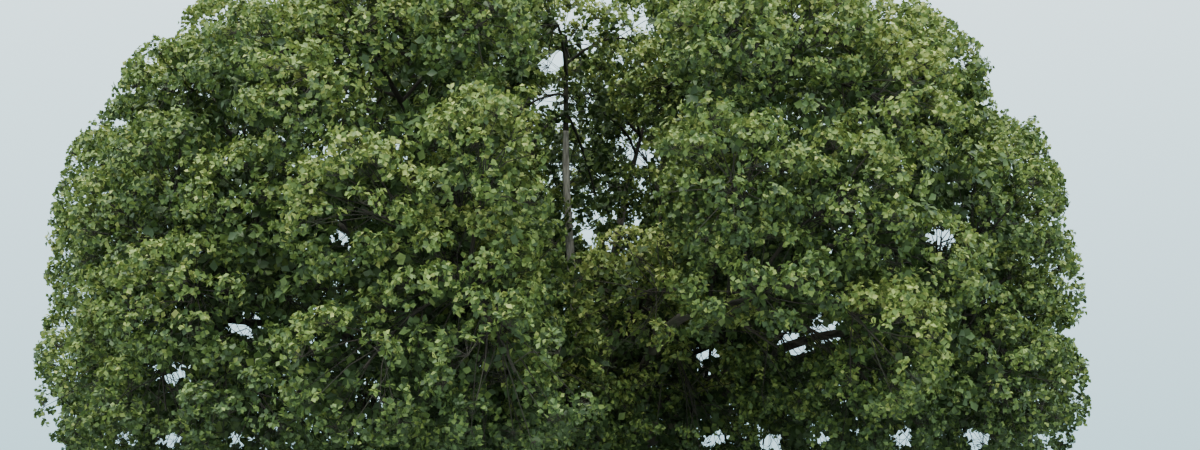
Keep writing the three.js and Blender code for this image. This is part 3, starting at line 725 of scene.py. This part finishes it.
def grow_mass(index):
    """The wood of one mass as rods, and its tufts with their twigs."""
    mass = masses[index]
    random = np.random.default_rng(TWIG_SEED + index)
    own = tuft_owners == index
    tufts, ways, clump_of, in_shade = (tuft_spots[own], tuft_ways[own], tuft_clumps[own],
                                       tuft_shaded[own])
    ends, twig_ways, tuft_of, shaded = [], [], [], []
    for k, tuft in enumerate(tufts):
        twigs, radius = (SHADE_TWIGS, SHADE_TUFT_RADIUS) if in_shade[k] else (TWIGS, TUFT_RADIUS)
        radius *= random.uniform(*TUFT_SIZES)
        end, way = fan_of(tuft, ways[k], twigs, radius, random)
        ends.append(end)
        twig_ways.append(way)
        tuft_of.append(np.full(twigs, k))
        shaded.append(np.full(twigs, in_shade[k]))
    ends, twig_ways = np.concatenate(ends), np.concatenate(twig_ways)
    tuft_of, shaded = np.concatenate(tuft_of), np.concatenate(shaded)
    kept = inside_crown(ends) & clear_of_limbs(ends, mass["middle"]) & out_of_slits(ends)
    ends, twig_ways, tuft_of, shaded = ends[kept], twig_ways[kept], tuft_of[kept], shaded[kept]
    clumps = owners == index
    bearing = np.isin(np.arange(len(tufts)), tuft_of)
    along = random.uniform(*SIDE_BRANCHES_AT, len(tufts))[:, None]
    forks = (branch_starts[clump_of] * (1 - along) + spots[clump_of] * along
             + branch_bows[clump_of] * 4 * along * (1 - along))
    crook = random.normal(0, SIDE_BRANCH_CROOK, tufts.shape) + up * SIDE_BRANCH_RISE
    wood = [
        rods(mass["bough"]["line"][-1:], leader_ends[index][None], mass["bough"]["radius"][-1],
             LEADER_TIP, np.zeros((1, 3)), sides=7, steps=6),
        rods(branch_starts[clumps], spots[clumps], *BRANCH_RADII, branch_bows[clumps],
             sides=5, steps=5),
        rods(forks[bearing], tufts[bearing], *SIDE_BRANCH_RADII, crook[bearing], sides=3, steps=2),
        spikes(tufts[tuft_of], ends, TWIG_RADIUS),
    ]
    return wood, tufts, tuft_of, clump_of, ends, twig_ways, shaded, random


def joined_object(name, points, faces, tones, materials):
    """One mesh of many small things, from arrays, each face with the number of its material."""
    mesh = bpy.data.meshes.new(name)
    mesh.vertices.add(len(points))
    mesh.vertices.foreach_set("co", points.astype(np.float32).ravel())
    mesh.loops.add(faces.size)
    mesh.loops.foreach_set("vertex_index", faces.astype(np.int32).ravel())
    mesh.polygons.add(len(faces))
    starts = np.arange(0, faces.size, faces.shape[1], dtype=np.int32)
    mesh.polygons.foreach_set("loop_start", starts)
    for material in materials:
        mesh.materials.append(material)
    mesh.polygons.foreach_set("material_index", tones.astype(np.int32))
    mesh.update(calc_edges=True)
    piece = bpy.data.objects.new(name, mesh)
    bpy.context.scene.collection.objects.link(piece)
    return piece


# The twigs' bark is near black: partly its own dark colour and partly painted shade, as the twigs
# stand in the crown's shadow
twig_bark = bark_material("twig bark", (0.03, 0.025, 0.017), (0.023, 0.019, 0.012),
                          (0.03, 0.042, 0.018), 0.3)
grown = []
for index, mass in enumerate(masses):
    wood, *foliage = grow_mass(index)
    points, faces, offset = [], [], 0
    for rod_points, rod_faces in wood:
        points.append(rod_points)
        faces.append(rod_faces + offset)
        offset += len(rod_points)
    points, faces = np.concatenate(points), np.concatenate(faces)
    piece = joined_object(mass["name"].replace("foliage", "twigs"), points, faces,
                          np.zeros(len(faces)), [twig_bark])
    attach(piece, "root")
    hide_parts(mass["name"])
    grown.append(foliage)

# Leaves
# Thin oak leaves, each a waxy blade folded along its midrib, in sprays round the ends of the twigs.
# They vary from dark green through mid green to yellow-green, partly at random and partly as painted
# light and shade: the upper ones of a tuft and of a clump are painted lighter, those low in the
# crown are painted darker, and those in the shade are larger and dark, partly as real shade leaves
# and partly as painted shade.
LEAVES_IN_SPRAY = 10
SHADE_LEAVES_IN_SPRAY = 7
SPRAY_SHARE = 1.2  # of a leaf's length, from the lowest leaf of a spray to its tip
LEAF_LENGTH = 0.128
SHADE_LEAF_LENGTH = 0.215
LEAF_SIZES = (0.8, 1.2)  # of those lengths
LEAF_LEAN = (50, 95)  # degrees between a leaf and its twig
LEAF_DROOP = 0.1
# A leaf's corners, along and across it: base, right side, tip and left side
LEAF_CORNERS = [(0, 0), (0.5, -0.38), (1, 0), (0.64, 0.37)]
LEAF_TIP = 2  # its place among them
LEAF_FACES = [(0, 1, 2), (0, 2, 3)]
LEAF_CUP = 0.3  # how far the sides of a leaf rise, of the way out from its midrib
LEAF_CURL = 0.16  # how far its tip hangs, of its length
# What a leaf's face turns to: out along its twig, up to the light, and any way at random
FACING_OUT = 0.85
FACING_UP = 0.45
FACING_ANY = 0.75
# The leaves' base colours from dark to light, with how common each is
LEAF_TONES = [
    ("shade leaf", (0.036, 0.065, 0.021), 0.14),
    ("deep leaf", (0.061, 0.105, 0.030), 0.22),
    ("mid leaf", (0.113, 0.172, 0.044), 0.26),
    ("light leaf", (0.170, 0.232, 0.058), 0.22),
    ("young leaf", (0.236, 0.296, 0.076), 0.11),
    ("yellow leaf", (0.305, 0.348, 0.098), 0.05),
]
# A leaf's place in that row of colours, 0 to 1: what every spray starts from, what chance adds to
# it, and what its height in its tuft, its clump and the crown adds or takes, as painted light on
# the upper leaves and painted shade on the lower ones
TONE_START = 0.31
TONE_CHANCE = 0.26
PAINTED_LIGHT_IN_TUFT = 0.08
PAINTED_LIGHT_IN_CLUMP = 0.15
PAINTED_LIGHT_IN_CROWN = 0.2
LOW_PAINTED_SHADE = 2.5  # how much faster the painted shade darkens leaves below the widest height
SHADED_TONE = 0.3  # what is left of that place in the shade, partly as real shade leaves and partly as painted shade
LEAF_TONE_SPREAD = 0.26  # how much the leaves of a spray differ

leaf_mottle, mottle_in, mottle_out = node_group(
    "leaf mottle",
    [("Tone", "NodeSocketColor", (0.06, 0.1, 0.03, 1)), ("Scale", "NodeSocketFloat", 3.0),
     ("Darkest", "NodeSocketFloat", 0.8), ("Lightest", "NodeSocketFloat", 1.2)],
    [("Color", "NodeSocketColor"), ("Roughness", "NodeSocketFloat")])
mottle_coordinates = leaf_mottle.nodes.new("ShaderNodeTexCoord")
mottle_noise = leaf_mottle.nodes.new("ShaderNodeTexNoise")
mottle_noise.inputs["Detail"].default_value = 3
mottle_range = leaf_mottle.nodes.new("ShaderNodeMapRange")
mottle_range.inputs["From Min"].default_value = 0.32
mottle_range.inputs["From Max"].default_value = 0.68
mottle_scaled = leaf_mottle.nodes.new("ShaderNodeVectorMath")
mottle_scaled.operation = "SCALE"
mottle_gloss = leaf_mottle.nodes.new("ShaderNodeMapRange")
mottle_gloss.inputs["To Min"].default_value = 0.42
mottle_gloss.inputs["To Max"].default_value = 0.62
link = leaf_mottle.links.new
link(mottle_coordinates.outputs["Object"], mottle_noise.inputs["Vector"])
link(mottle_in.outputs["Scale"], mottle_noise.inputs["Scale"])
link(mottle_noise.outputs["Fac"], mottle_range.inputs["Value"])
link(mottle_in.outputs["Darkest"], mottle_range.inputs["To Min"])
link(mottle_in.outputs["Lightest"], mottle_range.inputs["To Max"])
link(mottle_in.outputs["Tone"], mottle_scaled.inputs[0])
link(mottle_range.outputs["Result"], mottle_scaled.inputs["Scale"])
link(mottle_noise.outputs["Fac"], mottle_gloss.inputs["Value"])
link(mottle_scaled.outputs["Vector"], mottle_out.inputs["Color"])
link(mottle_gloss.outputs["Result"], mottle_out.inputs["Roughness"])


def leaf_material(name, tone):
    """A thin leaf: a mottled waxy blade that lets some light through."""
    material = bpy.data.materials.new(name)
    material.use_nodes = True
    nodes = material.node_tree.nodes
    shader = nodes["Principled BSDF"]
    shader.inputs["Specular IOR Level"].default_value = 0.3
    mottle = nodes.new("ShaderNodeGroup")
    mottle.node_tree = leaf_mottle
    mottle.inputs["Tone"].default_value = (*tone, 1)
    through = nodes.new("ShaderNodeBsdfTranslucent")
    blend = nodes.new("ShaderNodeMixShader")
    blend.inputs["Fac"].default_value = 0.2
    connect = material.node_tree.links.new
    connect(mottle.outputs["Color"], shader.inputs["Base Color"])
    connect(mottle.outputs["Roughness"], shader.inputs["Roughness"])
    connect(mottle.outputs["Color"], through.inputs["Color"])
    connect(shader.outputs["BSDF"], blend.inputs[1])
    connect(through.outputs["BSDF"], blend.inputs[2])
    connect(blend.outputs["Shader"], nodes["Material Output"].inputs["Surface"])
    return material


leaf_materials = [leaf_material(name, tone) for name, tone, _ in LEAF_TONES]
leaf_shares = np.array([share for _, _, share in LEAF_TONES])
leaf_steps = np.cumsum(leaf_shares / leaf_shares.sum())[:-1]
leaf_shape = np.array([(x, y, abs(y) * LEAF_CUP - x * x * LEAF_CURL) for x, y in LEAF_CORNERS])


def leaves_of(index, tufts, tuft_of, clump_of, ends, twig_ways, shaded, random):
    """Every leaf of a mass: corners, faces and the tone of each face."""
    shape = (len(ends), LEAVES_IN_SPRAY)
    u = unit(np.cross(twig_ways, aside_of(twig_ways)))
    v = np.cross(twig_ways, u)
    leaf = np.arange(LEAVES_IN_SPRAY)
    turn = (random.random((len(ends), 1)) * 2 * math.pi + leaf * GOLDEN)[..., None]
    lean = np.radians(random.uniform(*LEAF_LEAN, shape))[..., None]
    along = ((u[:, None] * np.cos(turn) + v[:, None] * np.sin(turn)) * np.sin(lean)
             + twig_ways[:, None] * np.cos(lean))
    along = unit(along - up * LEAF_DROOP)
    length = np.where(shaded, SHADE_LEAF_LENGTH, LEAF_LENGTH)[:, None]
    length = length * random.uniform(*LEAF_SIZES, shape)
    back = length * SPRAY_SHARE * random.random(shape)
    base = ends[:, None] - twig_ways[:, None] * back[..., None]
    facing = (twig_ways[:, None] * FACING_OUT + up * FACING_UP
              + random.normal(0, FACING_ANY, along.shape))
    side = unit(np.cross(facing, along))
    over = np.cross(along, side)
    frames = np.stack([along, side, over], axis=2)
    corners = base[:, :, None] + (leaf_shape @ frames) * length[..., None, None]
    corners = corners.reshape(-1, len(leaf_shape), 3)
    kept = inside_crown(corners[:, LEAF_TIP]) & inside_crown(corners[:, 0])
    kept &= clear_of_limbs(corners[:, LEAF_TIP], masses[index]["middle"])
    kept &= (~shaded[:, None] | (leaf < SHADE_LEAVES_IN_SPRAY)).ravel()
    clump = clump_of[tuft_of]
    # Painted light and shade: sprays high in their tuft and clump get lighter tones, low ones darker
    in_tuft = (ends - tufts[tuft_of])[:, 2] / TUFT_RADIUS
    in_clump = (ends - spots[clump])[:, 2] / CLUMP_RADIUS
    # Painted shade: sprays low in the crown get darker tones, and faster below its widest height
    in_crown = (ends[:, 2] - CROWN_WIDEST_AT) / (CROWN_HEIGHT - CROWN_WIDEST_AT)
    in_crown = np.where(in_crown < 0, in_crown * LOW_PAINTED_SHADE, in_crown)
    draw = (random.random(len(ends)) * TONE_CHANCE + TONE_START + PAINTED_LIGHT_IN_TUFT * in_tuft
            + PAINTED_LIGHT_IN_CLUMP * in_clump + PAINTED_LIGHT_IN_CROWN * in_crown + clump_tones[clump])
    # Painted shade: leaves of the shaded tufts deep in the crown get darker tones, partly the darker
    # green of real shade leaves
    draw = np.where(shaded, draw * SHADED_TONE, draw)[:, None]
    draw = draw + random.normal(0, LEAF_TONE_SPREAD, shape)
    tone = np.searchsorted(leaf_steps, draw.ravel(), side="right")[kept]
    corners = corners[kept]
    faces = np.arange(len(corners))[:, None, None] * len(leaf_shape) + np.array(LEAF_FACES)[None]
    return corners.reshape(-1, 3), faces.reshape(-1, 3), np.repeat(tone, len(LEAF_FACES))


for index, mass in enumerate(masses):
    points, faces, tones = leaves_of(index, *grown[index])
    piece = joined_object(mass["name"].replace("foliage", "leaves"), points, faces, tones,
                          leaf_materials)
    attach(piece, "root")
    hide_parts(mass["name"])

# Floor, light and camera
# A plain pale floor, an even pale sky that is brighter overhead, and one broad soft lamp high on
# the left. The camera stands on the ground where the eye is and looks up at the crown.
FLOOR_SIZE = 400
FLOOR_COLOUR = (0.32, 0.33, 0.32, 1)
SKY_LOW = (0.56, 0.86, 0.96, 1)
SKY_OVERHEAD = (1.0, 1.0, 1.0, 1)
SKY_STRENGTHS = (1.6, 4.0)  # at eye level and overhead
LAMP_STRENGTH = 4.0
LAMP_WIDTH = 35  # degrees
LAMP_TURN = (24, -14, 0)  # degrees about X, Y and Z
LAMP_COLOUR = (1.0, 0.98, 0.93)
CAMERA_PITCH = 9.9  # degrees above level
CAMERA_LENS = 46.3
bm = bmesh.new()
bmesh.ops.create_grid(bm, x_segments=1, y_segments=1, size=FLOOR_SIZE)
floor_mesh = bpy.data.meshes.new("floor")
bm.to_mesh(floor_mesh)
bm.free()
floor = bpy.data.objects.new("floor", floor_mesh)
bpy.context.scene.collection.objects.link(floor)
floor_paint = bpy.data.materials.new("pale floor")
floor_paint.use_nodes = True
floor_shader = floor_paint.node_tree.nodes["Principled BSDF"]
floor_shader.inputs["Base Color"].default_value = FLOOR_COLOUR
floor_shader.inputs["Roughness"].default_value = 0.9
floor_mesh.materials.append(floor_paint)

sky = bpy.data.worlds.new("pale sky")
sky.use_nodes = True
sky_nodes = sky.node_tree.nodes
sky_way = sky_nodes.new("ShaderNodeTexCoord")
sky_split = sky_nodes.new("ShaderNodeSeparateXYZ")
sky_ramp = sky_nodes.new("ShaderNodeValToRGB")
sky_ramp.color_ramp.elements[0].position = 0.0
sky_ramp.color_ramp.elements[0].color = SKY_LOW
sky_ramp.color_ramp.elements[1].position = 1.0
sky_ramp.color_ramp.elements[1].color = SKY_OVERHEAD
sky_strength = sky_nodes.new("ShaderNodeMapRange")
sky_strength.inputs["To Min"].default_value = SKY_STRENGTHS[0]
sky_strength.inputs["To Max"].default_value = SKY_STRENGTHS[1]
link = sky.node_tree.links.new
link(sky_way.outputs["Generated"], sky_split.inputs["Vector"])
link(sky_split.outputs["Z"], sky_ramp.inputs["Fac"])
link(sky_ramp.outputs["Color"], sky_nodes["Background"].inputs["Color"])
link(sky_split.outputs["Z"], sky_strength.inputs["Value"])
link(sky_strength.outputs["Result"], sky_nodes["Background"].inputs["Strength"])
bpy.context.scene.world = sky

lamp_data = bpy.data.lights.new("soft lamp", "SUN")
lamp_data.energy = LAMP_STRENGTH
lamp_data.angle = math.radians(LAMP_WIDTH)
lamp_data.color = LAMP_COLOUR
lamp = bpy.data.objects.new("soft lamp", lamp_data)
lamp.rotation_euler = [math.radians(turn) for turn in LAMP_TURN]
bpy.context.scene.collection.objects.link(lamp)

camera_data = bpy.data.cameras.new("camera")
camera_data.lens = CAMERA_LENS
camera_data.sensor_width = 36
camera_data.clip_end = 500
camera = bpy.data.objects.new("camera", camera_data)
camera.location = (EYE_RIGHT, -EYE_DISTANCE, EYE_HEIGHT)
camera.rotation_euler = (math.radians(90 + CAMERA_PITCH), 0, 0)
bpy.context.scene.collection.objects.link(camera)
bpy.context.scene.camera = camera
